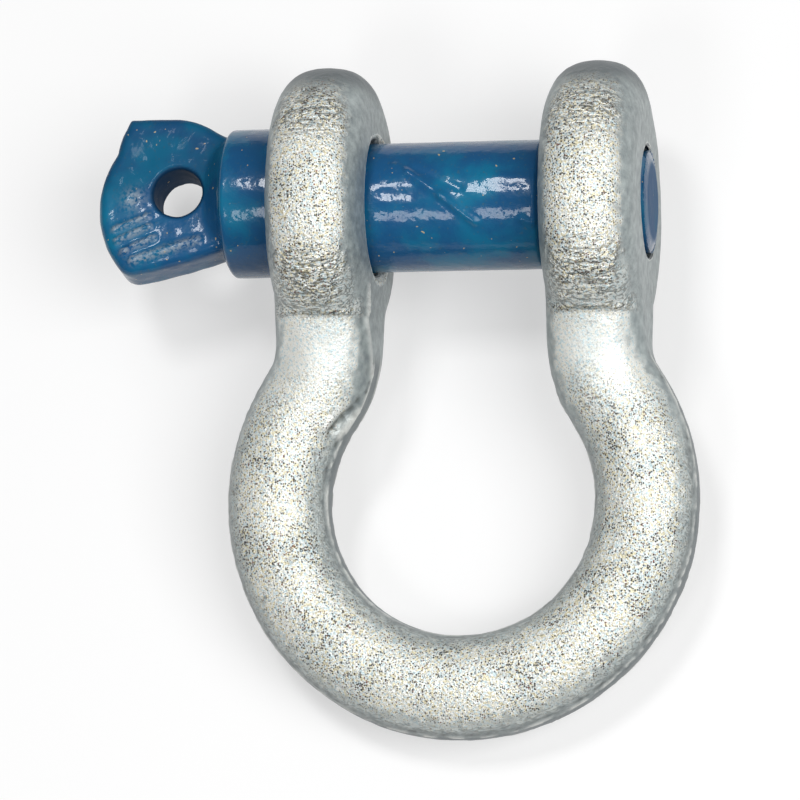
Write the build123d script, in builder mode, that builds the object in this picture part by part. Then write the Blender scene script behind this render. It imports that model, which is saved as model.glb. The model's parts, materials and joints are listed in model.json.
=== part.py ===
"""Bow shackle with a screw pin, lying flat on the surface it was put down on.

The pin's axis is X, its head at -X. The middle of the jaw is the origin, the ears
lie towards +Y, the crown of the bow towards -Y, and +Z is up. All sizes are in mm.
"""

from build123d import *

import os
from math import acos, asin, cos, degrees, radians, sin, sqrt

# Bow: round stock forged to a pear shape
stock_radius = 9.5
trim_land = 0.6
crown_radius = 34.3
crown_drop = 55.2
leg_offset = 25.3
waist_bend_radius = 19.0

# Ears at the ends of the bow
ear_radius = 26.3
ear_half_thickness = 9.0
land_past_bore = 0.4
neck_hollow_radius = 60.0
neck_corner_inset = 4.4
neck_root = 11.0
neck_inset = 0.3
stock_fullness = 0.5523
ear_fullness = 0.72

# Screw pin
shank_radius = 12.0
thread_radius = 10.3
shoulder_setback = 1.6
shoulder_chamfer = 1.2
thread_end_proud = 0.9
thread_end_chamfer = 0.5

# Collar and forged head, which stand a little off the shank's axis
collar_offset = 1.4
plate_rise = 1.1
head_turn = 8.6
collar_step = 1.9
collar_length = 10.3
collar_round = 2.6
collar_seat_chamfer = 0.3
neck_step = 0.3
neck_middle = 1.8
neck_middle_taper = 0.1
neck_middle_thickness = 7.2
neck_end = 5.0
neck_end_spread = 0.4
neck_inside_plate = 0.7
plate_inside_neck = 0.5

# Outline of the head's plate, from the neck outwards and up from the head's axis
head_top = 15.0
head_top_start = 11.6
head_top_end = 19.1
shoulder_hollow = 2.0
shoulder_crown = 4.5
notch_reach = 21.4
notch_height = 8.25
notch_bulge = 0.4
head_length = 24.3
head_bottom_reach = 18.6
head_bottom = 15.9
head_bottom_bulge = 0.4
head_corner_round = 3.3
head_thickness = 9.4
head_edge_round = 2.0
eye_radius = 4.65
eye_setback = 9.2
eye_lip = 0.6

# Clearances
plain_bore_clearance = 0.4
thread_clearance = 0.05
collar_seat_gap = 0.1

# Rounded mouths of the holes in the ears
jaw_lip = 2.0
outer_lip = 0.5
thread_lip = 0.5
bore_overrun = 1.0

# Spacing of the cross-sections along the bow
neck_sections = 9
bar_section_spacing = 7.0

# The shackle rests on both ear rims and on the underside of the crown
crown_reach = crown_drop + crown_radius
rest_slope = asin((ear_radius - stock_radius) / crown_reach)
bow_plane = Plane(origin=(0, 0, 0), x_dir=(1, 0, 0), z_dir=(0, -sin(rest_slope), cos(rest_slope)))

# The ear's sides stay flat a little past the rounded mouth of the plain bore
plain_radius = shank_radius + plain_bore_clearance
ear_land = plain_radius + jaw_lip + land_past_bore

# The waist bend touches both the straight leg and the crown circle
waist_centre_x = leg_offset + waist_bend_radius
waist_reach = crown_radius + waist_bend_radius
waist_angle = acos(waist_centre_x / waist_reach)
waist_y = waist_reach * sin(waist_angle) - crown_drop
waist_degrees = degrees(waist_angle)

# Seen from the side, the neck is a long shallow hollow that starts inside the ear, comes
# out of the ear's circle at a corner a little inside its rim and ends level with the bar.
neck_corner = ear_radius - neck_corner_inset
neck_rise = sqrt(ear_radius**2 - neck_corner**2) - stock_radius
blend_end = neck_corner + sqrt(neck_hollow_radius**2 - (neck_hollow_radius - neck_rise) ** 2)


def half_depth(distance):
    """Half of the neck's or bar's depth at a distance from the pin axis along the bow."""
    if distance < blend_end:
        fall = sqrt(neck_hollow_radius**2 - (blend_end - distance) ** 2)
        return stock_radius + neck_hollow_radius - fall
    return stock_radius


def forged_outline(half_width, depth, land, fullness):
    """Upper half of a section: a flat land on each side and a rounded top, as lines."""
    with BuildLine() as outline:
        Line((half_width, 0), (half_width, land))
        Bezier(
            (half_width, land),
            (half_width, land + fullness * (depth - land)),
            (fullness * half_width, depth),
            (0, depth),
        )
        mirror(about=Plane.YZ)
    return outline.line


def bow_section(plane, depth):
    """Whole cross-section of the neck or the bar, growing from the stock to the ear."""
    share = (depth - stock_radius) / (ear_radius - stock_radius)
    early_share = min(1, 2 * share)
    narrowing = stock_radius - ear_half_thickness + neck_inset
    half_width = stock_radius - narrowing * early_share
    land = trim_land + (ear_land - trim_land) * share
    fullness = stock_fullness + (ear_fullness - stock_fullness) * early_share
    with BuildSketch(plane) as section:
        with BuildLine():
            add(forged_outline(half_width, depth, land, fullness))
            mirror(about=Plane.XZ)
        make_face()
    return section.sketch


def bore_profile(plane, half_length, radius, near_lip, far_lip):
    """Half outline of a hole along the plane's local x, with its mouths rounded."""
    with BuildSketch(plane) as profile:
        with BuildLine():
            Polyline(
                (-half_length, radius + near_lip),
                (-half_length - bore_overrun, radius + near_lip),
                (-half_length - bore_overrun, 0),
                (half_length + bore_overrun, 0),
                (half_length + bore_overrun, radius + far_lip),
                (half_length, radius + far_lip),
            )
            RadiusArc((half_length, radius + far_lip), (half_length - far_lip, radius), far_lip)
            Line((half_length - far_lip, radius), (-half_length + near_lip, radius))
            RadiusArc((-half_length + near_lip, radius), (-half_length, radius + near_lip), near_lip)
        make_face()
    return profile.sketch


# Centreline of the bow, from the right ear round the crown to the left ear
with BuildLine(bow_plane) as centreline:
    Line((leg_offset, 0), (leg_offset, waist_y))
    CenterArc((waist_centre_x, waist_y), waist_bend_radius, 180, waist_degrees)
    CenterArc((0, -crown_drop), crown_radius, waist_degrees, -180 - 2 * waist_degrees)
    CenterArc((-waist_centre_x, waist_y), waist_bend_radius, -waist_degrees, waist_degrees)
    Line((-leg_offset, waist_y), (-leg_offset, 0))
bow_path = centreline.wire()

# Cross-sections, close together along the necks and evenly spaced round the bar
neck_spacing = (blend_end - neck_root) / neck_sections
near_stations = [neck_root + neck_spacing * index for index in range(neck_sections)]
far_stations = [bow_path.length - distance for distance in reversed(near_stations)]
bar_length = bow_path.length - 2 * blend_end
bar_count = round(bar_length / bar_section_spacing)
bar_stations = [blend_end + bar_length * index / bar_count for index in range(bar_count + 1)]

sections = []
for station in near_stations + bar_stations + far_stations:
    tangent = bow_path.tangent_at(station, PositionMode.LENGTH)
    station_plane = Plane(
        origin=bow_path.position_at(station, PositionMode.LENGTH),
        x_dir=tangent.cross(bow_plane.z_dir),
        z_dir=tangent,
    )
    ear_distance = min(station, bow_path.length - station)
    sections.append(bow_section(station_plane, half_depth(ear_distance)))

# Bow, one forging with both ears
with BuildPart() as bow:
    # Left half of the bar and neck
    loft(sections)
    split(bisect_by=Plane.YZ, keep=Keep.BOTTOM)

    # Left ear, turned about the pin axis
    with BuildSketch(Plane(origin=(-leg_offset, 0, 0), x_dir=(1, 0, 0), z_dir=bow_plane.z_dir)):
        with BuildLine():
            add(forged_outline(ear_half_thickness, ear_radius, ear_land, ear_fullness))
            Line((-ear_half_thickness, 0), (ear_half_thickness, 0))
        make_face()
    revolve(axis=Axis.X)

    # Right half
    mirror(about=Plane.YZ)

    # Plain bore in the left ear and the screwed bore in the right ear
    left_ear = Plane(origin=(-leg_offset, 0, 0), x_dir=(1, 0, 0), z_dir=(0, 0, 1))
    plain_bore = bore_profile(left_ear, ear_half_thickness, plain_radius, outer_lip, jaw_lip)
    revolve(plain_bore, axis=Axis.X, mode=Mode.SUBTRACT)
    screwed_radius = thread_radius + thread_clearance
    right_ear = Plane(origin=(leg_offset, 0, 0), x_dir=(1, 0, 0), z_dir=(0, 0, 1))
    screwed_bore = bore_profile(right_ear, ear_half_thickness, screwed_radius, thread_lip, thread_lip)
    revolve(screwed_bore, axis=Axis.X, mode=Mode.SUBTRACT)

# Pin, turned along the jaw and forged at its head
pin_seat = -leg_offset - ear_half_thickness - collar_seat_gap
head_root = pin_seat - collar_length
shank_root = pin_seat - collar_length / 2
shank_end = leg_offset - ear_half_thickness - shoulder_setback
thread_end = leg_offset + ear_half_thickness + thread_end_proud
head_angle = rest_slope - radians(head_turn)
head_up = Vector(0, cos(head_angle), sin(head_angle))
head_normal = Vector(0, -sin(head_angle), cos(head_angle))
collar_origin = Vector(head_root, 0, 0) + head_up * collar_offset
collar_plane = Plane(origin=collar_origin, x_dir=(-1, 0, 0), z_dir=-head_normal)
head_origin = collar_origin + head_up * plate_rise
head_plane = Plane(origin=head_origin, x_dir=(-1, 0, 0), z_dir=-head_normal)
collar_radius = shank_radius + collar_step
neck_radius = collar_radius - collar_round + neck_step
plate_root = neck_radius - plate_inside_neck
head_sides = Axis((0, 0, 0), head_normal)

with BuildPart() as screw_pin:
    # Plate of the head: hollow shoulder, level top, notched corner, round end, straight base
    with BuildSketch(head_plane):
        with BuildLine():
            Line((0, plate_root), (-collar_round, plate_root))
            Line((-collar_round, plate_root), (-collar_round, -plate_root))
            Line((-collar_round, -plate_root), (0, -plate_root))
            SagittaArc((0, -plate_root), (head_bottom_reach, -head_bottom), -head_bottom_bulge)
            ThreePointArc((head_bottom_reach, -head_bottom), (head_length, 0), (notch_reach, notch_height))
            SagittaArc((notch_reach, notch_height), (head_top_end, head_top), -notch_bulge)
            Line((head_top_end, head_top), (head_top_start, head_top))
            Bezier(
                (head_top_start, head_top),
                (shoulder_crown, head_top),
                (shoulder_hollow, plate_root),
                (0, plate_root),
            )
        make_face()
    extrude(amount=head_thickness / 2, both=True)
    low_corner = head_plane.from_local_coords((head_bottom_reach, -head_bottom, 0))
    low_edge = screw_pin.edges().filter_by(head_sides).sort_by_distance(low_corner)[0]
    fillet(low_edge, head_corner_round)
    fillet(screw_pin.faces().sort_by(head_sides)[-1].edges(), head_edge_round)
    fillet(screw_pin.faces().sort_by(head_sides)[0].edges(), head_edge_round)

    # Neck, drawn out from the round collar to the flat plate
    for distance, half_width, half_thickness in (
        (-collar_round / 2, neck_radius, neck_radius),
        (neck_middle, neck_radius - neck_middle_taper, neck_middle_thickness),
        (neck_end, neck_radius + neck_end_spread, head_thickness / 2 - neck_inside_plate),
    ):
        neck_plane = Plane(
            origin=head_origin - Vector(distance, 0, 0),
            x_dir=head_up,
            z_dir=(-1, 0, 0),
        )
        with BuildSketch(neck_plane):
            Ellipse(half_width, half_thickness)
    loft()

    # Shank, shoulder and thread
    with BuildSketch(Plane.XY):
        with BuildLine():
            Polyline(
                (shank_root, 0),
                (shank_root, shank_radius),
                (shank_end, shank_radius),
                (shank_end + shoulder_chamfer, thread_radius),
                (thread_end - thread_end_chamfer, thread_radius),
                (thread_end, thread_radius - thread_end_chamfer),
                (thread_end, 0),
                close=True,
            )
        make_face()
    revolve(axis=Axis.X)

    # Collar, its inner face against the left ear
    with BuildSketch(collar_plane):
        with BuildLine():
            Line((0, 0), (0, collar_radius - collar_round))
            RadiusArc((0, collar_radius - collar_round), (-collar_round, collar_radius), -collar_round)
            Polyline(
                (-collar_round, collar_radius),
                (-collar_length + collar_seat_chamfer, collar_radius),
                (-collar_length, collar_radius - collar_seat_chamfer),
                (-collar_length, 0),
                (0, 0),
            )
        make_face()
    revolve(axis=Axis(collar_origin, (1, 0, 0)))

    # Eye through the plate, for a bar to turn the pin or a wire to lock it
    eye_origin = head_origin - Vector(eye_setback, 0, 0)
    eye_plane = Plane(origin=eye_origin, x_dir=head_normal, z_dir=(-1, 0, 0))
    eye = bore_profile(eye_plane, head_thickness / 2, eye_radius, eye_lip, eye_lip)
    revolve(eye, axis=Axis(eye_origin, head_normal), mode=Mode.SUBTRACT)

bow.part.label = "bow"
screw_pin.part.label = "screw_pin"
os.makedirs("parts", exist_ok=True)
export_step(bow.part, "parts/bow.step")
export_step(screw_pin.part, "parts/screw_pin.step")
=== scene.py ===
"""Dressed bow shackle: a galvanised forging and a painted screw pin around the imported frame.

The pin's axis is X with its head at -X, the ears lie towards +Y and +Z is up, in metres.
"""

import json
import logging
import math
from collections.abc import Callable
from dataclasses import dataclass
from enum import Enum

import bmesh
import bpy
import numpy as np
from mathutils import Matrix, Vector


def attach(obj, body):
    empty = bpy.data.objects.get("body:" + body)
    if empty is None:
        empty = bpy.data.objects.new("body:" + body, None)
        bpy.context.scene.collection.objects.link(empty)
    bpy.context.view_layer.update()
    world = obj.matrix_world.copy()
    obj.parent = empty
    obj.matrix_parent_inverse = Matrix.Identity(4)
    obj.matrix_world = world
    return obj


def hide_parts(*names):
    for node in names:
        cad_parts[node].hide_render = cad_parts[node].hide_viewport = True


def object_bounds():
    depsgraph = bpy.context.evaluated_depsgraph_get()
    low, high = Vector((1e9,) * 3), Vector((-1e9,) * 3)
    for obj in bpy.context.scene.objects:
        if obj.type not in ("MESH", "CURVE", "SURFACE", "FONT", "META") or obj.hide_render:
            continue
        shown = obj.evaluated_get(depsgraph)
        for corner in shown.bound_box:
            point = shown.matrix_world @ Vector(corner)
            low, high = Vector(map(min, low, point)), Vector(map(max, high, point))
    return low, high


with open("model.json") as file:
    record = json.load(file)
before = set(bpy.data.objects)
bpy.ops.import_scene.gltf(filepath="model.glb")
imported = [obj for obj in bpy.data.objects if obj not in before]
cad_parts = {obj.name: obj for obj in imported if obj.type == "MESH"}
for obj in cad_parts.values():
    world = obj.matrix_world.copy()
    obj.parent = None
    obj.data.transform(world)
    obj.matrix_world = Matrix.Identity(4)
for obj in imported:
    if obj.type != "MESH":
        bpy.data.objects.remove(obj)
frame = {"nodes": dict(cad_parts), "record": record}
CAD_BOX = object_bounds()

LOG = logging.getLogger("shackle")
MM = 0.001
AROUND = 96
MERGE_DISTANCE = 0.001 * MM
SMOOTHING = 0.5
SHARP_ANGLE = math.radians(50)
MIDDLE = 0.5
ACROSS = Vector((1, 0, 0))

Colour = tuple[float, float, float, float]
Span = tuple[float, float]
Array = np.ndarray
Piece = bpy.types.Object
Mesh = bpy.types.Mesh
Material = bpy.types.Material
Socket = bpy.types.NodeSocket


class Node(str, Enum):
    """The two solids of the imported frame."""

    BOW = "bow"
    PIN = "screw_pin"


class Body(str, Enum):
    """The bodies that the pieces ride on."""

    BOW = "bow_body"
    PIN = "pin_body"


class Slot(str, Enum):
    """The record's material slots."""

    ZINC = "galvanised_steel"
    PAINT = "blue_paint"


@dataclass(frozen=True)
class Cloud:
    """A cloudy pattern: the size of its patches, its finer layers and which of its like it is."""

    size: float
    layers: float
    seed: float


class Wiring:
    """Adds nodes to a node tree and joins them."""

    MIX_INPUTS = (0, 6, 7)
    MIX_RESULT = 2

    def __init__(self, tree: bpy.types.NodeTree) -> None:
        """Keep the tree that the nodes go into."""
        self.tree = tree

    def add(self, kind: str, **settings: object) -> bpy.types.Node:
        """Add one node.

        Args:
            kind: The node's type name.
            settings: Values for the node's own properties.

        Returns:
            The new node.
        """
        node = self.tree.nodes.new(kind)
        for name, value in settings.items():
            setattr(node, name, value)
        return node

    def join(self, targets: list[Socket], sources: tuple[object, ...]) -> None:
        """Give inputs their links or their values.

        Args:
            targets: The inputs.
            sources: A socket or a value for each.
        """
        for target, source in zip(targets, sources):
            if isinstance(source, Socket):
                self.tree.links.new(source, target)
            else:
                target.default_value = source

    def feed(self, node: bpy.types.Node, **sources: object) -> bpy.types.Node:
        """Give inputs their sources by name, with underscores for spaces, and give back the node."""
        self.join([node.inputs[name.replace("_", " ")] for name in sources], tuple(sources.values()))
        return node

    def work_out(self, operation: str, first: object, second: object) -> Socket:
        """Work out one sum on two numbers.

        Args:
            operation: The sum, such as ADD or MULTIPLY.
            first: A socket or a number.
            second: A socket or a number.

        Returns:
            The socket with the result.
        """
        node = self.add("ShaderNodeMath", operation=operation)
        self.join(node.inputs[:2], (first, second))
        return node.outputs[0]

    def times(self, first: object, second: object) -> Socket:
        """Multiply two numbers."""
        return self.work_out("MULTIPLY", first, second)

    def plus(self, first: object, second: object) -> Socket:
        """Add two numbers."""
        return self.work_out("ADD", first, second)

    def less(self, first: object, second: object) -> Socket:
        """Take the second number from the first."""
        return self.work_out("SUBTRACT", first, second)

    def ramp(self, source: Socket, span: Span) -> Socket:
        """Turn a value into 0 below a span and 1 above it, smoothly between."""
        node = self.add("ShaderNodeMapRange", interpolation_type="SMOOTHSTEP")
        return self.feed(node, Value=source, From_Min=span[0], From_Max=span[1]).outputs["Result"]

    def mix(self, share: object, first: object, second: object) -> Socket:
        """Mix two colours.

        Args:
            share: How much of the second colour shows, as a socket or a number.
            first: The first colour or its socket.
            second: The second colour or its socket.

        Returns:
            The socket with the mixed colour.
        """
        node = self.add("ShaderNodeMix", data_type="RGBA")
        self.join([node.inputs[index] for index in self.MIX_INPUTS], (share, first, second))
        return node.outputs[self.MIX_RESULT]

    def noise(self, place: Socket, cloud: Cloud) -> Socket:
        """Add a cloudy pattern.

        Args:
            place: The coordinates that the pattern follows.
            cloud: The pattern.

        Returns:
            The socket with the pattern, between 0 and 1.
        """
        node = self.add("ShaderNodeTexNoise", noise_dimensions="4D")
        self.feed(node, Vector=place, W=cloud.seed, Scale=1 / cloud.size, Detail=cloud.layers)
        return node.outputs["Fac"]

    def mask(self, name: str) -> Socket:
        """Read a number that the mesh keeps at its points."""
        return self.add("ShaderNodeAttribute", attribute_name=name).outputs["Fac"]

    def bump(self, height: Socket, depth: float, below: Socket | None = None) -> Socket:
        """Roughen the surface.

        Args:
            height: The pattern of the relief.
            depth: How deep it is in metres.
            below: The normal of a coarser relief under it, or None.

        Returns:
            The socket with the new normal.
        """
        node = self.add("ShaderNodeBump")
        self.feed(node, Strength=1.0, Distance=depth, Height=height)
        if below is not None:
            self.feed(node, Normal=below)
        return node.outputs["Normal"]

    def finish(self, shader: bpy.types.Node) -> None:
        """Send a shader to the material's output."""
        self.feed(self.add("ShaderNodeOutputMaterial"), Surface=shader.outputs[0])


def new_material(name: str) -> tuple[Wiring, Material]:
    """Start a material with no nodes.

    Args:
        name: The material's name.

    Returns:
        The wiring of its node tree and the material.
    """
    material = bpy.data.materials.new(name)
    material.use_nodes = True
    material.node_tree.nodes.clear()
    return Wiring(material.node_tree), material


@dataclass(frozen=True)
class ZincFinish:
    """Hot-dip zinc on a forging: bright and finely pitted, smoother on its sides, which painted shade
    greys.
    """

    name: str = "hot_dip_zinc"
    bright: Colour = (0.945, 0.955, 0.91, 1)
    bloom: Colour = (0.79, 0.83, 0.81, 1)
    # Painted shade on the sides turned away from the bow's face, from dark to light at random.
    side_shade_dark: Colour = (0.25, 0.29, 0.30, 1)
    side_shade_light: Colour = (0.50, 0.56, 0.55, 1)
    shaded: Colour = (0.085, 0.108, 0.118, 1)
    straw: Colour = (0.80, 0.72, 0.44, 1)
    steel_blue: Colour = (0.52, 0.72, 0.78, 1)
    pit: Colour = (0.020, 0.018, 0.015, 1)
    rust: Colour = (0.22, 0.070, 0.045, 1)
    # Dark colour for the grain's specks and for painted shade in crevices.
    speck_and_crevice_shade: Colour = (0.035, 0.040, 0.030, 1)
    cloud: Cloud = Cloud(9 * MM, 3, 1)
    tint: Cloud = Cloud(0.5 * MM, 2, 2)
    grain: Cloud = Cloud(0.45 * MM, 2, 3)
    pit_tint: Cloud = Cloud(0.5 * MM, 1, 5)
    streak: Cloud = Cloud(1.5 * MM, 2, 6)
    side: Cloud = Cloud(1.5 * MM, 5, 7)
    speck: Cloud = Cloud(0.24 * MM, 1, 9)
    bloom_span: Span = (0.42, 0.68)
    straw_span: Span = (0.52, 0.60)
    straw_share: float = 0.8
    blue_span: Span = (0.38, 0.46)
    blue_share: float = 0.7
    speck_span: Span = (0.52, 0.70)
    speck_share: float = 0.54
    side_span: Span = (0.22, 0.80)
    ridge_highlight_share: float = 0.85
    pit_spacing: float = 0.36 * MM
    pit_reach: float = 0.58
    pit_edge: Span = (-0.04, 0.08)
    pit_share: float = 0.95
    pit_wander: float = 0.16 * MM
    wander_scale: float = 0.5
    rust_span: Span = (0.56, 0.66)
    crowd_span: Span = (0.35, 0.65)
    crowd_least: float = 2.2
    crowd_scale: float = 0.36
    crevice_shade_span: Span = (0.10, 0.62)
    crevice_shade_share: float = 0.75
    streak_stretch: float = 2.8
    streak_level: float = 0.075
    streak_depth: float = 1.3 * MM
    grain_depth: float = 0.34 * MM
    least_grain: float = 0.15
    metallic: float = 0.3
    roughness: float = 0.36
    roughness_swing: float = 0.14

    def make(self) -> Material:
        """Build the material.

        Returns:
            The finished material.
        """
        wires, material = new_material(self.name)
        place = wires.add("ShaderNodeTexCoord").outputs["Object"]
        masks = {name: wires.mask(name) for name in ("grain", "streak", "side", "ridge", "shade", "cut")}
        stretch = (1 / self.streak_stretch, 1, 1)
        stretched = wires.feed(wires.add("ShaderNodeMapping"), Vector=place, Scale=stretch)
        streak = wires.noise(stretched.outputs[0], self.streak)
        cloud, grain = wires.noise(place, self.cloud), wires.noise(place, self.grain)
        tint, side = wires.noise(place, self.tint), wires.noise(place, self.side)

        wander = wires.add("ShaderNodeTexNoise", noise_dimensions="3D")
        wires.feed(wander, Vector=place, Scale=1 / (self.wander_scale * self.pit_spacing), Detail=1.0)
        moved = wires.add("ShaderNodeVectorMath", operation="MULTIPLY_ADD")
        wires.join(moved.inputs, (wander.outputs["Color"], (self.pit_wander,) * 3, place))
        cells = wires.add("ShaderNodeTexVoronoi")
        wires.feed(cells, Vector=moved.outputs[0], Scale=1 / self.pit_spacing)
        chance = wires.feed(wires.add("ShaderNodeSeparateColor"), Color=cells.outputs["Color"])
        crowding = wires.plus(wires.ramp(cloud, self.crowd_span), self.crowd_least)
        reach = wires.times(chance.outputs[0], self.pit_reach)
        reach = wires.times(reach, wires.times(crowding, self.crowd_scale))
        pits = wires.ramp(wires.less(reach, cells.outputs["Distance"]), self.pit_edge)
        pits = wires.times(wires.times(pits, masks["grain"]), self.pit_share)

        colour = wires.mix(wires.ramp(cloud, self.bloom_span), self.bright, self.bloom)
        straw = wires.times(wires.ramp(tint, self.straw_span), masks["grain"])
        colour = wires.mix(wires.times(straw, self.straw_share), colour, self.straw)
        blue = wires.less(1.0, wires.ramp(tint, self.blue_span))
        colour = wires.mix(wires.times(blue, self.blue_share), colour, self.steel_blue)
        specks = wires.ramp(wires.noise(place, self.speck), self.speck_span)
        specks = wires.times(wires.times(specks, masks["grain"]), self.speck_share)
        colour = wires.mix(specks, colour, self.speck_and_crevice_shade)
        # Painted shade: the sides turned away from the bow's face are greyed, darker or lighter at
        # random.
        side_shade_colour = wires.mix(wires.ramp(side, self.side_span), self.side_shade_dark, self.side_shade_light)
        colour = wires.mix(masks["side"], colour, side_shade_colour)
        colour = wires.mix(masks["shade"], colour, self.shaded)
        # Painted highlight: the flash ridge and the raised wrinkles are brightened.
        colour = wires.mix(wires.times(masks["ridge"], self.ridge_highlight_share), colour, self.bright)
        # Painted shade in the crevices of the streaked relief, joined with the painted shade in the dents
        # and beside the flash ridge.
        off_line = wires.work_out("PINGPONG", streak, self.streak_level)
        near, far = (share * self.streak_level for share in self.crevice_shade_span)
        crevice_shade = wires.times(wires.less(1.0, wires.ramp(off_line, (near, far))), masks["streak"])
        crevice_shade = wires.work_out("MAXIMUM", wires.times(crevice_shade, self.crevice_shade_share), masks["cut"])
        colour = wires.mix(crevice_shade, colour, self.speck_and_crevice_shade)
        rusty = wires.ramp(wires.noise(place, self.pit_tint), self.rust_span)
        colour = wires.mix(pits, colour, wires.mix(rusty, self.pit, self.rust))

        roughness = wires.plus(wires.times(cloud, self.roughness_swing), self.roughness)
        grained = wires.plus(wires.times(masks["grain"], 1 - self.least_grain), self.least_grain)
        normal = wires.bump(wires.times(grain, grained), self.grain_depth)
        normal = wires.bump(wires.times(streak, masks["streak"]), self.streak_depth, normal)

        shader = wires.add("ShaderNodeBsdfPrincipled")
        wires.feed(shader, Base_Color=colour, Metallic=self.metallic, Roughness=roughness, Normal=normal)
        wires.finish(shader)
        return material


@dataclass(frozen=True)
class PaintFinish:
    """Thick dark blue paint with an uneven skin, glossy on the shank and duller on the head, with painted
    shade in the eye and on the head's top and a painted highlight on its raised ribs.
    """

    name: str = "dark_blue_paint"
    deep: Colour = (0.009, 0.084, 0.212, 1)
    thin: Colour = (0.004, 0.150, 0.275, 1)
    dark: Colour = (0.002, 0.030, 0.080, 1)
    dusty: Colour = (0.05, 0.11, 0.15, 1)
    # Paler paint as a painted highlight on the head's raised ribs.
    worn: Colour = (0.30, 0.36, 0.42, 1)
    nib: Colour = (0.55, 0.42, 0.22, 1)
    cloud: Cloud = Cloud(8 * MM, 3, 5)
    peel: Cloud = Cloud(2.6 * MM, 2, 6)
    fine: Cloud = Cloud(0.6 * MM, 2, 7)
    nibs: Cloud = Cloud(0.7 * MM, 0, 11)
    thin_span: Span = (0.42, 0.72)
    dust_span: Span = (0.58, 0.75)
    dust_share: float = 0.5
    worn_span: Span = (0.35, 0.6)
    nib_span: Span = (0.80, 0.84)
    nib_share: float = 0.8
    peel_depth: float = 0.16 * MM
    fine_depth: float = 0.02 * MM
    roughness: float = 0.25
    rough_span: Span = (0.4, 0.8)
    rough_swing: float = 0.12
    dull_swing: float = 0.3
    gloss: float = 0.48
    coat_roughness: float = 0.08
    coat_bend: float = 1.45
    specular: float = 0.12

    def make(self) -> Material:
        """Build the material.

        Returns:
            The finished material.
        """
        wires, material = new_material(self.name)
        place = wires.add("ShaderNodeTexCoord").outputs["Object"]
        dull, shade, worn = wires.mask("dull"), wires.mask("shade"), wires.mask("worn")
        cloud, peel = wires.noise(place, self.cloud), wires.noise(place, self.peel)
        fine, nibs = wires.noise(place, self.fine), wires.noise(place, self.nibs)
        colour = wires.mix(wires.ramp(cloud, self.thin_span), self.deep, self.thin)
        dust = wires.times(wires.ramp(fine, self.dust_span), self.dust_share)
        colour = wires.mix(dust, colour, self.dusty)
        colour = wires.mix(shade, colour, self.dark)
        # Painted highlight: the raised ribs of the head are paler, in patches.
        colour = wires.mix(wires.times(worn, wires.ramp(fine, self.worn_span)), colour, self.worn)
        colour = wires.mix(wires.times(wires.ramp(nibs, self.nib_span), self.nib_share), colour, self.nib)
        roughness = wires.times(wires.ramp(cloud, self.rough_span), self.rough_swing)
        roughness = wires.plus(roughness, wires.times(dull, self.dull_swing))
        roughness = wires.plus(roughness, self.roughness)
        normal = wires.bump(fine, self.fine_depth, wires.bump(peel, self.peel_depth))
        coat = wires.times(wires.less(1.0, dull), self.gloss)
        shader = wires.add("ShaderNodeBsdfPrincipled")
        wires.feed(shader, Base_Color=colour, Roughness=roughness, Specular_IOR_Level=self.specular)
        wires.feed(shader, Coat_Weight=coat, Coat_Roughness=self.coat_roughness)
        wires.feed(shader, Coat_IOR=self.coat_bend, Normal=normal, Coat_Normal=normal)
        wires.finish(shader)
        return material


@dataclass(frozen=True)
class FloorFinish:
    """Plain pale matt floor."""

    name: str = "pale_floor"
    pale: Colour = (0.93, 0.93, 0.93, 1)
    unseen: Colour = (0.20, 0.20, 0.20, 1)
    white_share: float = 0.5

    def make(self) -> Material:
        """Build the material.

        Returns:
            The finished material.
        """
        wires, material = new_material(self.name)
        path = wires.add("ShaderNodeLightPath").outputs
        shown = wires.work_out("MAXIMUM", path["Is Camera Ray"], path["Is Glossy Ray"])
        shown = wires.work_out("MAXIMUM", shown, path["Is Transmission Ray"])
        matt = wires.add("ShaderNodeBsdfDiffuse")
        wires.feed(matt, Color=wires.mix(shown, self.unseen, self.pale))
        white = wires.add("ShaderNodeEmission")
        blend = wires.add("ShaderNodeMixShader")
        share = wires.times(shown, self.white_share)
        wires.join(blend.inputs, (share, matt.outputs[0], white.outputs[0]))
        wires.finish(blend)
        return material


def new_object(name: str, mesh: Mesh) -> Piece:
    """Put a mesh into the scene.

    Args:
        name: The object's name.
        mesh: Its mesh.

    Returns:
        The new object.
    """
    piece = bpy.data.objects.new(name, mesh)
    bpy.context.scene.collection.objects.link(piece)
    return piece


def plain_mesh(piece: Piece) -> Mesh:
    """Turn an object with its modifiers into a mesh of its own.

    Args:
        piece: The object, whose modifiers are read and then removed.

    Returns:
        The evaluated mesh.
    """
    graph = bpy.context.evaluated_depsgraph_get()
    mesh = bpy.data.meshes.new_from_object(piece.evaluated_get(graph), depsgraph=graph)
    piece.modifiers.clear()
    return mesh


def merged_copy(node: Node, name: str) -> Piece:
    """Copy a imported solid's mesh and merge its loose triangles.

    Args:
        node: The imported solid.
        name: The copy's name.

    Returns:
        The object that holds the copy.
    """
    mesh = frame["nodes"][node.value].data.copy()
    shape = bmesh.new()
    shape.from_mesh(mesh)
    bmesh.ops.remove_doubles(shape, verts=shape.verts, dist=MERGE_DISTANCE)
    shape.to_mesh(mesh)
    shape.free()
    mesh.materials.clear()
    return new_object(name, mesh)


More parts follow.
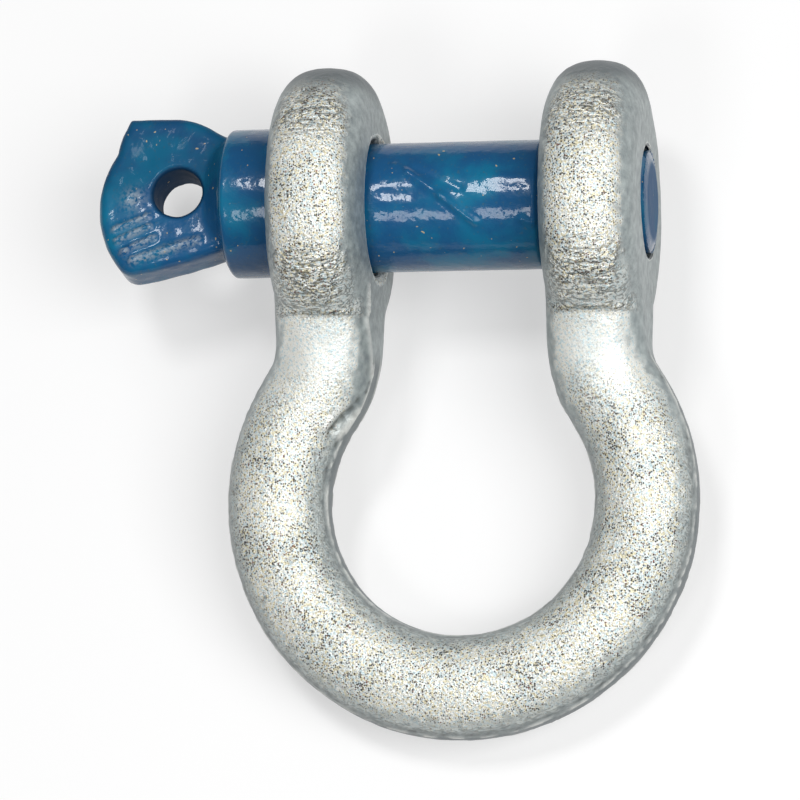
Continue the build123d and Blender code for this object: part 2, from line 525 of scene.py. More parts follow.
def lathe(
    name: str, profile: list[tuple[float, float]], twist: Callable[[float, float], float] | None = None
) -> Piece:
    """Turn a closed profile about the X axis.

    Args:
        name: The object's name.
        profile: Points of place along X and radius, from one end of the axis to the other.
        twist: A function of place and angle that gives a change of radius, or None.

    Returns:
        The closed object, its faces pointing outwards.
    """
    shape = bmesh.new()
    rings = []
    for place, radius in profile[1:-1]:
        ring = []
        for step in range(AROUND):
            angle = 2 * math.pi * step / AROUND
            reach = radius + (twist(place, angle) if twist else 0.0)
            ring.append(shape.verts.new((place, reach * math.cos(angle), reach * math.sin(angle))))
        rings.append(ring)
    ends = [shape.verts.new((profile[index][0], 0, 0)) for index in (0, -1)]
    pairs = [(step, (step + 1) % AROUND) for step in range(AROUND)]
    for first, second in zip(rings, rings[1:]):
        for step, after in pairs:
            shape.faces.new((first[step], first[after], second[after], second[step]))
    for step, after in pairs:
        shape.faces.new((ends[0], rings[0][after], rings[0][step]))
        shape.faces.new((ends[1], rings[-1][step], rings[-1][after]))
    bmesh.ops.recalc_face_normals(shape, faces=shape.faces)
    mesh = bpy.data.meshes.new(name)
    shape.to_mesh(mesh)
    shape.free()
    return new_object(name, mesh)


def fuse(piece: Piece, others: list[Piece], grid: float, rounds: int) -> None:
    """Join closed shapes into one even skin.

    Args:
        piece: The object that takes the result.
        others: Shapes that are fused into it and then removed.
        grid: The size of the skin's faces.
        rounds: How many rounds of smoothing follow.
    """
    joined = bmesh.new()
    joined.from_mesh(piece.data)
    for other in others:
        joined.from_mesh(other.data)
        bpy.data.objects.remove(other)
    joined.to_mesh(piece.data)
    joined.free()
    remesh = piece.modifiers.new("Skin", "REMESH")
    remesh.mode = "VOXEL"
    remesh.voxel_size = grid
    smooth = piece.modifiers.new("Soften", "SMOOTH")
    smooth.factor = SMOOTHING
    smooth.iterations = rounds
    piece.data = plain_mesh(piece)


def cut(piece: Piece, cutter: Piece) -> None:
    """Cut one shape out of another.

    Args:
        piece: The object that is cut.
        cutter: The shape that is cut out and then removed.
    """
    boolean = piece.modifiers.new("Cut", "BOOLEAN")
    boolean.operation = "DIFFERENCE"
    boolean.solver = "EXACT"
    boolean.object = cutter
    piece.data = plain_mesh(piece)
    bpy.data.objects.remove(cutter)


def finish_mesh(piece: Piece, finish: Material) -> None:
    """Shade a piece smoothly, keep its real corners sharp and give it one finish.

    Args:
        piece: The piece.
        finish: Its material.
    """
    mesh = piece.data
    mesh.materials.clear()
    mesh.materials.append(finish)
    mesh.polygons.foreach_set("material_index", np.zeros(len(mesh.polygons), np.int32))
    mesh.polygons.foreach_set("use_smooth", np.ones(len(mesh.polygons), bool))
    mesh.set_sharp_from_angle(angle=SHARP_ANGLE)
    mesh.update()


def rows_of(items: bpy.types.bpy_prop_collection, name: str) -> Array:
    """Read three numbers from each item of a mesh.

    Args:
        items: The mesh's points or their normals.
        name: The property that holds the numbers.

    Returns:
        One row of three numbers for each item.
    """
    flat = np.empty(len(items) * 3)
    items.foreach_get(name, flat)
    return flat.reshape(-1, 3)


def move_points(mesh: Mesh, places: Array) -> None:
    """Put a mesh's points in new places."""
    mesh.vertices.foreach_set("co", places.ravel())
    mesh.update()


def store(mesh: Mesh, **shares: Array) -> None:
    """Keep shares between 0 and 1 at the points of a mesh.

    Args:
        mesh: The mesh.
        shares: The attributes' names and one number for each point.
    """
    for name, values in shares.items():
        attribute = mesh.attributes.new(name, "FLOAT", "POINT")
        attribute.data.foreach_set("value", np.clip(values, 0, 1).astype(np.float32))


def step_up(values: Array, span: Span) -> Array:
    """Rise smoothly from 0 to 1 over a span."""
    share = np.clip((values - span[0]) / (span[1] - span[0]), 0, 1)
    return share * share * (3 - 2 * share)


def bell(values: Array, middle: float, width: float) -> Array:
    """Rise to 1 at a middle and fall away on both sides, to about a third at the width."""
    return np.exp(-(((values - middle) / width) ** 2))


def at_least(least: float, share: Array) -> Array:
    """Squeeze shares between 0 and 1 so that none is below the least."""
    return least + (1 - least) * share


@dataclass(frozen=True)
class Ripple:
    """A smooth random height over a surface: its size, which of its like it is and how high."""

    size: float
    seed: int
    height: float = 1.0
    waves: int = 24
    lengths: Span = (0.7, 1.6)

    def at(self, places: Array) -> Array:
        """Give the height at each place.

        Args:
            places: One row of three numbers for each place.

        Returns:
            One height for each place.
        """
        chance = np.random.default_rng(self.seed)
        directions = chance.normal(size=(self.waves, 3))
        directions /= np.linalg.norm(directions, axis=1)[:, None]
        lengths = self.size * chance.uniform(*self.lengths, self.waves)
        phases = chance.uniform(0, 2 * math.pi, self.waves)
        turns = 2 * math.pi * (places @ directions.T) / lengths + phases
        return self.height * (np.cos(turns).sum(axis=1) / math.sqrt(self.waves * 2))


@dataclass(frozen=True)
class Mark:
    """A hollow along a short line in mm, or a raised wrinkle where its depth is below 0."""

    start: tuple[float, float, float]
    end: tuple[float, float, float]
    radius: float
    depth: float
    shortest: float = 1e-9

    def lower(self, places: Array) -> Array:
        """Work out how far each place goes in.

        Args:
            places: One row of three numbers in mm for each place.

        Returns:
            One depth in metres for each place.
        """
        start, run = np.array(self.start), np.subtract(self.end, self.start)
        length = max(float(run @ run), self.shortest)
        share = np.clip((places - start) @ run / length, 0, 1)
        away = np.linalg.norm(places - start - share[:, None] * run, axis=1)
        return self.depth * bell(away, 0, self.radius) * MM


class PieceTree:
    """A geometry node tree with named inputs, which ends in plain faces with one finish."""

    def __init__(self, name: str, sizes: tuple[str, ...], counts: tuple[str, ...] = ()) -> None:
        """Start the tree.

        Args:
            name: The tree's name.
            sizes: The names of its inputs that are measures.
            counts: The names of its inputs that are whole numbers.
        """
        self.tree = bpy.data.node_groups.new(name, "GeometryNodeTree")
        self.wires = Wiring(self.tree)
        kinds = {"Geometry": "Geometry"} | dict.fromkeys(sizes, "Float")
        kinds |= dict.fromkeys(counts, "Int") | {"Material": "Material"}
        face = self.tree.interface
        for label, kind in kinds.items():
            face.new_socket(label, in_out="INPUT", socket_type="NodeSocket" + kind)
        face.new_socket("Geometry", in_out="OUTPUT", socket_type="NodeSocketGeometry")
        self.given = self.wires.add("NodeGroupInput").outputs

    def close(self, shape: bpy.types.Node) -> None:
        """End the tree in real faces with the given finish.

        Args:
            shape: The node that makes the last shape.
        """
        wires = self.wires
        real = wires.feed(wires.add("GeometryNodeRealizeInstances"), Geometry=shape.outputs[0])
        dressed = wires.add("GeometryNodeSetMaterial")
        wires.feed(dressed, Geometry=real.outputs[0], Material=self.given["Material"])
        wires.feed(wires.add("NodeGroupOutput"), Geometry=dressed.outputs[0])

    def apply(self, piece: Piece, **values: object) -> None:
        """Run the tree on an object and keep the result as its plain mesh.

        Args:
            piece: The object.
            values: The tree's input names, with underscores for spaces, and their values.
        """
        modifier = piece.modifiers.new(self.tree.name, "NODES")
        modifier.node_group = self.tree
        inputs = {
            item.name: item.identifier
            for item in self.tree.interface.items_tree
            if item.item_type == "SOCKET" and item.in_out == "INPUT"
        }
        for name, value in values.items():
            modifier[inputs[name.replace("_", " ")]] = value
        piece.data = plain_mesh(piece)


class SkinTree(PieceTree):
    """Lifts a skin along its normals by two layers of cloudy relief."""

    def __init__(self) -> None:
        """Build the tree once for every piece that uses it."""
        super().__init__("forged_skin", ("Wave Size", "Wave Depth", "Grain Size", "Grain Depth", "Seed"))
        wires, given = self.wires, self.given
        place = wires.add("GeometryNodeInputPosition").outputs[0]
        normal = wires.add("GeometryNodeInputNormal").outputs[0]
        share = wires.add("GeometryNodeInputNamedAttribute", data_type="FLOAT")
        wires.feed(share, Name="relief")
        heights = []
        for layer in ("Wave", "Grain"):
            noise = wires.add("ShaderNodeTexNoise", noise_dimensions="4D")
            scale = wires.work_out("DIVIDE", 1.0, given[f"{layer} Size"])
            wires.feed(noise, Vector=place, W=given["Seed"], Scale=scale, Detail=1.0)
            level = wires.less(noise.outputs["Fac"], MIDDLE)
            heights.append(wires.times(level, given[f"{layer} Depth"]))
        height = wires.times(wires.plus(*heights), share.outputs["Attribute"])
        offset = wires.add("ShaderNodeVectorMath", operation="SCALE")
        wires.feed(offset, Vector=normal, Scale=height)
        lifted = wires.add("GeometryNodeSetPosition")
        wires.feed(lifted, Geometry=given["Geometry"], Offset=offset.outputs[0])
        self.close(lifted)


class ThreadTree(PieceTree):
    """Winds a ridge with sloping flanks about the X axis."""

    FLANK_CORNERS = 4

    def __init__(self) -> None:
        """Build the tree."""
        super().__init__("screw_thread", ("Radius", "Pitch", "Length", "Depth", "Start"), ("Steps",))
        wires, given = self.wires, self.given
        coil = wires.add("GeometryNodeCurveSpiral")
        turns = wires.work_out("DIVIDE", given["Length"], given["Pitch"])
        wires.feed(coil, Resolution=given["Steps"], Rotations=turns, Height=given["Length"])
        wires.feed(coil, Start_Radius=given["Radius"], End_Radius=given["Radius"])
        start = wires.add("ShaderNodeCombineXYZ")
        wires.feed(start, X=given["Start"])
        turned = wires.add("GeometryNodeTransform")
        wires.feed(turned, Geometry=coil.outputs[0], Translation=start.outputs[0])
        wires.feed(turned, Rotation=(0, math.pi / 2, 0))
        flank = wires.add("GeometryNodeCurvePrimitiveCircle", mode="RADIUS")
        wires.feed(flank, Resolution=self.FLANK_CORNERS, Radius=given["Depth"])
        swept = wires.add("GeometryNodeCurveToMesh")
        wires.feed(swept, Curve=turned.outputs[0], Profile_Curve=flank.outputs[0], Fill_Caps=True)
        self.close(swept)


def mount_of(name: str) -> dict:
    """Give one of the record's mounts by its name."""
    return next(mount for mount in frame["record"]["mounts"] if mount["name"] == name)


def bow_axes() -> tuple[Vector, Vector, Vector]:
    """Give the directions across the bow, from its crown to its ears and out of its face."""
    up = Vector(mount_of("bow_crown")["axis"]).normalized()
    return ACROSS, up, ACROSS.cross(up)


def in_bow_plane(places: Array) -> Array:
    """Turn rows of places into the same across the bow, towards its ears and out of its face."""
    return places @ np.array(bow_axes()).T


@dataclass
class BowForging:
    """The pear-shaped bow with its two ears, flash line, dents, grain and bores."""

    name: str = "bow_forging"
    ear_centre: float = 25.3 * MM
    ear_half_thickness: float = 9.0 * MM
    ear_reach: float = 27.0 * MM
    plug_radius: float = 14.6 * MM
    plain_bore: float = 12.4 * MM
    screwed_bore: float = 10.35 * MM
    bore_overrun: float = 3 * MM
    jaw_lip: float = 2.0 * MM
    outer_lip: float = 0.5 * MM
    lip_steps: int = 6
    thread_pitch: float = 2.5 * MM
    thread_depth: float = 0.8 * MM
    thread_steps: int = 96
    grid: float = 0.58 * MM
    flash_land: float = 2.7 * MM
    flash_half_width: float = 0.55 * MM
    flash_height: float = 0.16 * MM
    flash_drift: tuple[Ripple, ...] = (Ripple(14 * MM, 3, 0.30 * MM), Ripple(3 * MM, 10, 0.12 * MM))
    flash_gaps: tuple[Ripple, ...] = (Ripple(4.5 * MM, 4), Ripple(1.4 * MM, 9, 0.6))
    gap_span: Span = (-0.7, 0.4)
    land_span: Span = (-1.0, 0.5)
    bar_blend: float = 3 * MM
    bar_wave: Ripple = Ripple(16 * MM, 5, 0.10 * MM)
    ragged_edge: Ripple = Ripple(1.6 * MM, 6, 0.10)
    broken_edge: Ripple = Ripple(1.3 * MM, 7, 0.5)
    rim_span: Span = (15 * MM, 19 * MM)
    front_span: Span = (0.46, 0.76)
    ear_foot: Span = (21.4 * MM, 22.4 * MM)
    leg_place: float = -28 * MM
    leg_width: float = 9 * MM
    crest_place: float = 14.5 * MM
    crest_width: float = 5.5 * MM
    foot_span: Span = (7 * MM, 15 * MM)
    under_span: Span = (12 * MM, 17 * MM)
    under_facing: Span = (0.2, 0.45)
    under_bright: float = 0.55
    under_streak: float = 0.8
    top_span: Span = (17.5 * MM, 23.5 * MM)
    top_shade: float = 0.95
    land_shade: float = 0.75
    turned_span: Span = (0.15, 0.55)
    turned_shade: float = 0.28
    wide_span: Span = (34 * MM, 48 * MM)
    band_edge: Span = (0.70, 0.80)
    band_fade: Span = (0.3, 0.6)
    band_share: float = 0.6
    shoulder_span: Span = (38 * MM, 50 * MM)
    shoulder_facing: float = 0.5
    shoulder_width: float = 0.14
    shoulder_streak: float = 0.6
    side_grain: float = 0.12
    face_grain: float = 0.2
    leg_smoothness: float = 0.8
    side_streak: float = 0.15
    wrinkle_height: float = 0.35 * MM
    ridge_shadow_place: float = 1.9
    ridge_shadow_width: float = 0.9
    ridge_shadow_share: float = 0.9
    dent_depth: float = 0.6 * MM
    darkest_painted_shade: float = 0.7
    face_relief: float = 0.25
    leg_relief: float = 0.5
    marks: tuple[Mark, ...] = (
        Mark((29.3, 0.9, 25.4), (29.3, 0.9, 25.4), 0.8, 0.3),
        Mark((25.0, -17.2, 19.8), (26.2, -17.8, 19.4), 1.0, 0.45),
        Mark((28.0, -22.4, 13.2), (28.6, -22.8, 12.4), 1.0, 0.5),
        Mark((-23.6, -42.7, 6.2), (-21.5, -39.4, 5.8), 0.9, 0.7),
        Mark((-21.0, -39.6, 5.3), (-19.3, -36.6, 4.9), 0.8, 0.6),
        Mark((-24.6, -41.8, 7.4), (-21.2, -36.9, 6.6), 0.8, -0.4),
        Mark((-22.4, -43.3, 4.4), (-19.2, -38.6, 3.4), 0.7, -0.5),
        Mark((-16.6, -15.8, 8.6), (-16.6, -20.8, 8.0), 0.65, -0.6),
        Mark((-17.1, -22.3, 8.3), (-17.0, -31.8, 3.5), 0.65, -0.5),
        Mark((-17.6, -22.3, 9.9), (-17.6, -31.8, 5.3), 0.7, 0.25),
        Mark((-26.2, 19.2, 17.9), (-24.2, 20.4, 16.9), 0.55, 0.3),
        Mark((-27.0, 18.2, 18.9), (-25.6, 19.0, 18.2), 0.5, 0.25),
        Mark((-30.4, -66.6, 9.4), (-31.6, -65.6, 9.2), 0.8, 0.35),
        Mark((26.6, -50.6, 9.3), (28.4, -51.6, 9.4), 0.8, 0.3),
        Mark((8.0, -88.0, 9.3), (10.0, -87.4, 9.4), 0.7, 0.3),
    )

    def bore_cutter(self, centre: float, radius: float, lips: Span, grooved: bool) -> Piece:
        """Make the shape that cuts a hole with rounded mouths.

        Args:
            centre: The middle of the ear along X.
            radius: The hole's radius.
            lips: The rounding of the mouth towards -X and of the one towards +X.
            grooved: Whether a screw thread is cut into the wall.

        Returns:
            The cutter.
        """
        near, far = lips
        reach = self.ear_half_thickness - self.outer_lip
        first, last = centre - self.ear_half_thickness, centre + self.ear_half_thickness
        wall, steps = last - far - first - near, self.thread_steps if grooved else 1
        turns = [math.pi / 2 * step / self.lip_steps for step in range(self.lip_steps + 1)]
        arc = [(1 - math.cos(turn), 1 - math.sin(turn)) for turn in turns]
        profile = [(first - self.bore_overrun, 0.0), (first - self.bore_overrun, radius + near)]
        profile += [(first + near * into, radius + near * out) for into, out in arc]
        profile += [(first + near + wall * step / steps, radius) for step in range(1, steps)]
        profile += [(last - far * into, radius + far * out) for into, out in reversed(arc)]
        profile += [(last + self.bore_overrun, radius + far), (last + self.bore_overrun, 0.0)]

        def groove(place: float, angle: float) -> float:
            """Give the depth of the thread's groove at a place along X and an angle around it."""
            turn = (place / self.thread_pitch - angle / (2 * math.pi)) % 1.0
            return self.thread_depth * (1 - abs(2 * turn - 1)) if abs(place - centre) <= reach else 0.0

        return lathe("bore_cutter", profile, groove if grooved else None)

    def build(self, skin: SkinTree, zinc: Material) -> Piece:
        """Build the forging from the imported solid.

        Args:
            skin: The node tree that lifts the skin.
            zinc: The finish.

        Returns:
            The finished piece.
        """
        piece = merged_copy(Node.BOW, self.name)
        plugs = []
        for centre in (-self.ear_centre, self.ear_centre):
            near, far = centre - self.ear_half_thickness, centre + self.ear_half_thickness
            profile = [(near, 0.0), (near, self.plug_radius), (far, self.plug_radius), (far, 0.0)]
            plugs.append(lathe("bore_plug", profile))
        fuse(piece, plugs, self.grid, 1)
        self.forge(piece)
        skin.apply(
            piece,
            Wave_Size=4.0 * MM,
            Wave_Depth=0.16 * MM,
            Grain_Size=1.5 * MM,
            Grain_Depth=0.15 * MM,
            Seed=11.0,
            Material=zinc,
        )
        lips = (self.outer_lip, self.jaw_lip)
        cut(piece, self.bore_cutter(-self.ear_centre, self.plain_bore, lips, False))
        cut(piece, self.bore_cutter(self.ear_centre, self.screwed_bore, (self.outer_lip,) * 2, True))
        finish_mesh(piece, zinc)
        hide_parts(Node.BOW.value)
        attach(piece, Body.BOW.value)
        return piece

    def forge(self, piece: Piece) -> None:
        """Raise the trimmed flash along the bar, press the dents and note where the grain, the painted
        shade and the painted highlights lie.

        Args:
            piece: The bow's even skin.
        """
        mesh = piece.data
        places, normals = rows_of(mesh.vertices, "co"), rows_of(mesh.vertex_normals, "vector")
        local = in_bow_plane(places)
        along, out = local[:, 1], local[:, 2]
        facing = np.abs(in_bow_plane(normals)[:, 2])
        on_bar = 1 - step_up(along, (-self.ear_reach - self.bar_blend, -self.ear_reach))
        drift = sum(ripple.at(places) for ripple in self.flash_drift)
        off_land = (np.abs(out) - self.flash_land - drift) / self.flash_half_width
        dashes = step_up(sum(ripple.at(places) for ripple in self.flash_gaps), self.gap_span)
        ridge = bell(off_land, 0, 1) * on_bar * dashes

        lift = self.flash_height * ridge
        pressed, raised = np.zeros(len(places)), np.zeros(len(places))
        for mark in self.marks:
            depth = mark.lower(local / MM)
            lift -= depth
            pressed += np.maximum(depth, 0)
            raised += np.maximum(-depth, 0)
        lift += self.bar_wave.at(places)
        move_points(mesh, places + normals * lift[:, None])

        rim = step_up(np.hypot(along, out), self.rim_span)
        ragged = facing + self.ragged_edge.at(places)
        front = step_up(ragged, self.front_span)
        in_ear = 1 - step_up(-along, self.ear_foot)
        leg = bell(along, self.leg_place, self.leg_width) * (1 - in_ear)
        ends = bell(along, self.crest_place, self.crest_width) + step_up(-along, self.foot_span) * in_ear
        under = step_up(-along, self.under_span) * in_ear * step_up(facing, self.under_facing)
        wide = on_bar * step_up(-along, self.wide_span)
        band = self.band_share * (1 - step_up(ragged, self.band_edge))
        band += (1 - self.band_share) * (1 - step_up(ragged, self.band_fade))
        land = (1 - step_up(off_land, self.land_span)) * on_bar
        turned = (1 - step_up(facing, self.turned_span)) * on_bar
        top = step_up(along, self.top_span)
        shades = (self.top_shade * top, self.land_shade * land, self.turned_shade * turned)
        shoulder = bell(facing, self.shoulder_facing, self.shoulder_width) * on_bar
        shoulder *= step_up(-along, self.shoulder_span)
        streaked = ends * np.maximum(at_least(self.side_streak, front), self.under_streak * under)
        broken = MIDDLE + self.broken_edge.at(places)
        # Painted shade: a shadow line beside the flash ridge, in the gaps between its dashes, and shade
        # in the pressed dents.
        ridge_shadow = bell(off_land, self.ridge_shadow_place, self.ridge_shadow_width) * on_bar * (1 - dashes) * broken
        dent_and_ridge_shade = pressed / self.dent_depth * broken + self.ridge_shadow_share * ridge_shadow
        grain = at_least(self.side_grain, front) * (1 - self.leg_smoothness * leg)
        store(
            mesh,
            # Painted shade on the sides turned away from the bow's face, in a band along the edges of its
            # wide part, and less under the ears.
            side=(1 - front) * (1 - self.under_bright * under) * (1 - wide) + band * wide,
            shade=np.maximum.reduce(shades),
            grain=grain * at_least(self.face_grain, rim),
            streak=streaked + self.shoulder_streak * shoulder,
            # A painted highlight brightens the flash ridge and the raised wrinkles.
            ridge=np.maximum(ridge, raised / self.wrinkle_height),
            # Painted shade in the dents and beside the flash ridge.
            cut=np.minimum(dent_and_ridge_shade, self.darkest_painted_shade),
            relief=at_least(self.face_relief, rim * (1 - self.leg_relief * leg)),
        )


@dataclass
class PinForging:
    """The painted pin: eyed head, neck, collar, shank and screwed end."""

    name: str = "pin_forging"
    thread_radius: float = 10.3 * MM
    thread_pitch: float = 2.5 * MM
    thread_depth: float = 0.8 * MM
    thread_start: float = 16.2 * MM
    thread_end: float = 35.2 * MM
    thread_margin: float = 0.3 * MM
    thread_steps: int = 48
    plain_run: float = 2 * MM
    neck_start: float = -44.7 * MM
    neck_blend: Span = (-1 * MM, 2 * MM)
    rough_head: Ripple = Ripple(3.2 * MM, 8, 0.04 * MM)
    bead_place: float = -43.4 * MM
    bead_width: float = 0.55 * MM
    bead_height: float = 0.28 * MM
    bead_reach: Span = (10 * MM, 12 * MM)
    end_rounding: float = 1.1 * MM
    end_facing: Span = (0.4, 0.8)
    end_depth: float = 1.5 * MM
    end_flat: float = 6 * MM
    end_round: float = 4.3 * MM
    bare_depth: float = 1 * MM
    bare_span: Span = (6.6 * MM, 8.2 * MM)
    bare_dullness: float = 0.95
    eye_span: Span = (4.9 * MM, 5.5 * MM)
    high_span: Span = (-4 * MM, 3 * MM)
    high_dullness: float = 0.75
    high_shade: float = 0.35
    head_dullness: float = 0.10
    worn_height: float = 0.6 * MM
    worn_share: float = 0.75
    grid: float = 0.36 * MM
    head_marks: tuple[Mark, ...] = (
        Mark((5.1, -6.7, 4.7), (11.0, -9.3, 4.7), 0.62, -0.9),
        Mark((4.2, -8.9, 4.7), (9.7, -11.5, 4.7), 0.62, -0.9),
        Mark((5.4, -4.7, 4.7), (11.6, -7.1, 4.7), 0.6, -0.7),
        Mark((7.9, -13.2, 4.7), (-4.2, -9.6, 4.7), 0.8, -0.9),
        Mark((6.0, 6.6, 4.7), (6.0, 6.6, 4.7), 2.2, 0.35),
        Mark((8.3, -1.3, 4.7), (8.3, -1.3, 4.7), 1.9, -0.7),
        Mark((8.3, -1.3, 4.7), (8.3, -1.3, 4.7), 0.9, 0.6),
    )
    shank_marks: tuple[Mark, ...] = (
        Mark((-11.4, 6.2, 10.3), (-8.8, 4.6, 11.1), 0.8, -0.25),
        Mark((-8.8, 4.6, 11.1), (-2.6, 0.0, 12.0), 0.75, -0.45),
        Mark((-2.6, 0.0, 12.0), (3.8, -4.9, 10.9), 0.75, -0.45),
        Mark((-7.6, 5.2, 10.8), (1.0, 1.2, 11.9), 0.8, 0.25),
        Mark((6.0, 3.4, 11.5), (13.0, 3.0, 11.6), 1.2, -0.2),
        Mark((-13.0, 0.6, 12.0), (-8.0, 0.4, 12.0), 1.4, 0.2),
        Mark((12.4, -4.6, 11.1), (14.2, -5.4, 10.7), 0.7, -0.3),
    )

    def build(self, skin: SkinTree, paint: Material) -> Piece:
        """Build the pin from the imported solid.

        Args:
            skin: The node tree that lifts the skin.
            paint: The finish.

        Returns:
            The finished piece.
        """
        piece = merged_copy(Node.PIN, self.name)
        fuse(piece, [], self.grid, 2)
        self.forge(piece)
        skin.apply(
            piece,
            Wave_Size=5.0 * MM,
            Wave_Depth=0.10 * MM,
            Grain_Size=2.0 * MM,
            Grain_Depth=0.04 * MM,
            Seed=23.0,
            Material=paint,
        )
        finish_mesh(piece, paint)
        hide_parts(Node.PIN.value)
        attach(piece, Body.PIN.value)
        return piece

    def forge(self, piece: Piece) -> None:
        """Turn the thread's core down, raise the plain ribs on the head and note where it is rough, where
        shade is painted and where the ribs get a painted highlight.

        Args:
            piece: The pin's even skin.
        """
        mesh = piece.data
        places, normals = rows_of(mesh.vertices, "co"), rows_of(mesh.vertex_normals, "vector")
        along, radius = places[:, 0], np.hypot(places[:, 1], places[:, 2])
        local = in_bow_plane(places)
        eye = mount_of("head_eye")
        from_eye, outward = places - np.array(eye["pos_m"]), np.array(eye["axis"])
        upward = np.cross((-1.0, 0, 0), outward)
        plate = np.column_stack((-from_eye[:, 0], from_eye @ upward, from_eye @ outward))
        lift, raised = np.zeros(len(places)), np.zeros(len(places))
        for mark in self.head_marks:
            depth = mark.lower(plate / MM)
            lift -= depth
            raised += np.maximum(-depth, 0)
        for mark in self.shank_marks:
            lift -= mark.lower(local / MM)
        on_head = step_up(-along, tuple(blend - self.neck_start for blend in self.neck_blend))
        lift += on_head * self.rough_head.at(places)
        bead = bell(along, self.bead_place, self.bead_width)
        lift += self.bead_height * bead * step_up(radius, self.bead_reach)
        on_end = step_up(normals[:, 0], self.end_facing)
        on_end *= step_up(along, (self.thread_end - self.end_depth, self.thread_end))
        lift -= self.end_rounding * on_end * np.clip((radius - self.end_flat) / self.end_round, 0, 1) ** 2

        moved = places + normals * lift[:, None]
        threaded = (along > self.thread_start) & (along < self.thread_end)
        threaded &= radius > self.thread_radius - self.thread_margin
        core = self.thread_radius - self.thread_depth
        moved[:, 1:] *= np.where(threaded, core / np.maximum(radius, core), 1.0)[:, None]
        move_points(mesh, moved)

        in_eye = 1 - step_up(np.hypot(plate[:, 0], plate[:, 1]), self.eye_span)
        in_eye *= along < self.neck_start
        high = on_head * step_up(plate[:, 1], self.high_span)
        bare = 1 - step_up(radius, self.bare_span)
        bare *= step_up(along, (self.thread_end - self.bare_depth, self.thread_end))
        on_skin = self.head_dullness * on_head + self.high_dullness * high
        store(
            mesh,
            relief=along <= self.thread_start - self.plain_run,
            dull=np.maximum(on_skin, np.maximum(in_eye, self.bare_dullness * bare)),
            shade=np.maximum(in_eye, self.high_shade * high),
            # The raised ribs on the head get a painted highlight, by how high they stand.
            worn=np.minimum(raised / self.worn_height, 1) * self.worn_share,
        )

    def thread(self, tree: ThreadTree, paint: Material) -> Piece:
        """Wind the screw thread about the pin's core.

        Args:
            tree: The node tree that winds it.
            paint: The finish.

        Returns:
            The finished piece.
        """
        piece = new_object("pin_thread", bpy.data.meshes.new("pin_thread"))
        tree.apply(
            piece,
            Radius=self.thread_radius - self.thread_depth,
            Pitch=self.thread_pitch,
            Length=self.thread_end - self.thread_start - self.thread_pitch,
            Depth=self.thread_depth,
            Start=self.thread_start + self.thread_pitch / 2,
            Steps=self.thread_steps,
            Material=paint,
        )
        finish_mesh(piece, paint)
        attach(piece, Body.PIN.value)
        return piece


@dataclass
class Softbox:
    """One square studio lamp that looks at the shackle."""

    name: str
    turn: float
    rise: float
    width: float
    height: float
    power: float
    distance: float = 1.3

    def build(self, aim: Vector, axes: Matrix) -> None:
        """Hang the lamp.

        Args:
            aim: The point that it looks at.
            axes: The camera's right, up and back directions as columns.
        """
        turn, rise = math.radians(self.turn), math.radians(self.rise)
        local = (math.sin(turn) * math.cos(rise), math.sin(rise), math.cos(turn) * math.cos(rise))
        back = axes @ Vector(local)
        light = bpy.data.lights.new(self.name, "AREA")
        light.shape = "RECTANGLE"
        light.size = self.width
        light.size_y = self.height
        light.energy = self.power
        lamp = bpy.data.objects.new(self.name, light)
        bpy.context.scene.collection.objects.link(lamp)
        side = axes.col[1].cross(back).normalized()
        over = back.cross(side).normalized()
        turned = Matrix((side, over, back)).transposed().to_4x4()
        lamp.matrix_world = Matrix.Translation(aim + back * self.distance) @ turned
        lamp.visible_camera = False


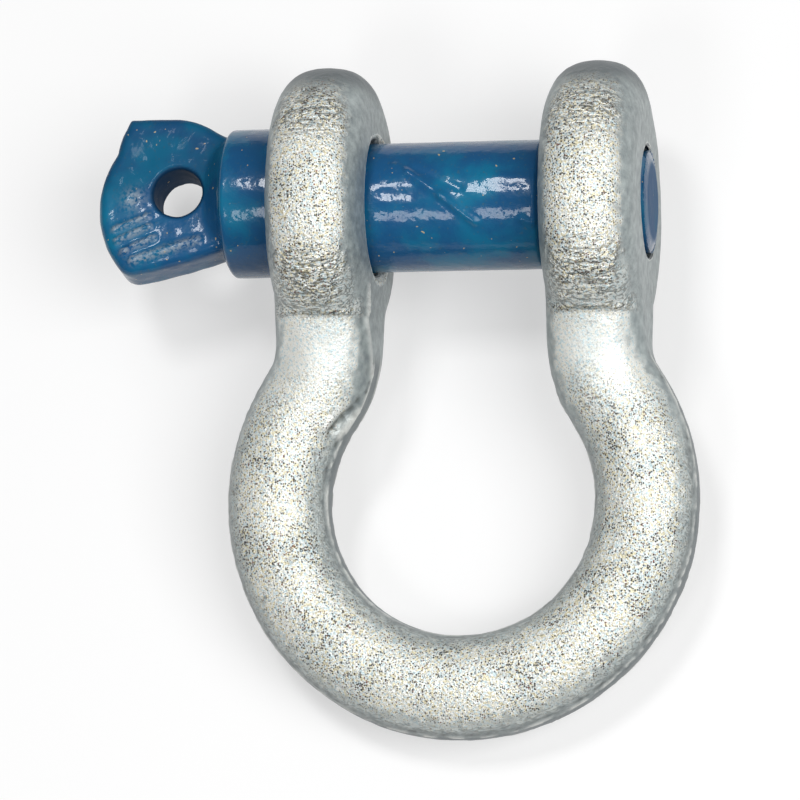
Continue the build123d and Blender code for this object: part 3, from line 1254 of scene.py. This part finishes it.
@dataclass
class Studio:
    """The pale floor, the soft lamps, the grey surroundings and the camera."""

    floor_radius: float = 4.0
    floor_gap: float = 0.02 * MM
    surroundings: float = 0.16
    picture_side: float = 800.0
    pixel: float = 0.1855 * MM
    camera_pixels: float = 4900.0
    view_turn: float = 10.81
    view_tilt: float = -7.77
    view_roll: float = -0.56
    middle_across: float = 65.28
    middle_up: float = 193.79
    sensor: float = 36.0
    nearest: float = 0.05
    furthest: float = 20.0
    lamps: tuple[Softbox, ...] = (
        Softbox("upper_softbox", turn=-20.0, rise=31.0, width=0.24, height=0.28, power=5.2),
        Softbox("lower_softbox", turn=-20.0, rise=-15.0, width=0.24, height=0.30, power=2.4),
        Softbox("front_softbox", turn=22.0, rise=4.0, width=0.80, height=0.80, power=12.0),
    )

    def camera_axes(self) -> Matrix:
        """Work out the camera's directions.

        Returns:
            A matrix with the right, up and back directions as columns.
        """
        seen = Matrix.Identity(3)
        for angle, axis in ((self.view_roll, "Z"), (self.view_tilt, "X"), (-self.view_turn, "Y")):
            seen = seen @ Matrix.Rotation(math.radians(angle), 3, axis)
        return Matrix(bow_axes()).transposed() @ seen.transposed()

    def build(self) -> None:
        """Set up everything around the shackle."""
        axes = self.camera_axes()
        self.add_camera(axes)
        self.add_floor()
        aim = (CAD_BOX[0] + CAD_BOX[1]) / 2
        for lamp in self.lamps:
            lamp.build(aim, axes)
            LOG.info("lamp %s", lamp.name)
        world = bpy.data.worlds.new("surroundings")
        bpy.context.scene.world = world
        world.use_nodes = True
        grey = (self.surroundings,) * 3 + (1,)
        Wiring(world.node_tree).feed(world.node_tree.nodes["Background"], Color=grey, Strength=1.0)
        bpy.context.scene.view_settings.view_transform = "Standard"

    def add_camera(self, axes: Matrix) -> None:
        """Put the camera where the photograph was taken from.

        Args:
            axes: The camera's right, up and back directions as columns.
        """
        away = Vector((-self.middle_across, -self.middle_up, self.camera_pixels)) * self.pixel
        data = bpy.data.cameras.new("camera")
        data.sensor_width = self.sensor
        data.lens = self.sensor * self.camera_pixels / self.picture_side
        data.clip_start = self.nearest
        data.clip_end = self.furthest
        camera = bpy.data.objects.new("camera", data)
        bpy.context.scene.collection.objects.link(camera)
        camera.matrix_world = Matrix.Translation(axes @ away) @ axes.to_4x4()
        bpy.context.scene.camera = camera

    def add_floor(self) -> None:
        """Lay the floor under the shackle."""
        shape = bmesh.new()
        bmesh.ops.create_circle(shape, cap_ends=True, segments=AROUND, radius=self.floor_radius)
        for corner in shape.verts:
            corner.co.z = CAD_BOX[0].z - self.floor_gap
        mesh = bpy.data.meshes.new("floor")
        shape.to_mesh(mesh)
        shape.free()
        floor = new_object("floor", mesh)
        mesh.materials.append(FloorFinish().make())


def triangle_count(piece: Piece) -> int:
    """Count the triangles that a piece's faces make."""
    return sum(len(face.vertices) - 2 for face in piece.data.polygons)


def main() -> None:
    """Build every piece in order."""
    logging.basicConfig(level=logging.INFO, format="%(name)s: %(message)s")
    zinc, paint = ZincFinish().make(), PaintFinish().make()
    skin, winding = SkinTree(), ThreadTree()
    bow, pin = BowForging(), PinForging()
    Studio().build()
    for piece in (bow.build(skin, zinc), pin.build(skin, paint), pin.thread(winding, paint)):
        LOG.info("piece %s, %d triangles", piece.name, triangle_count(piece))


if __name__ == "__main__":
    main()
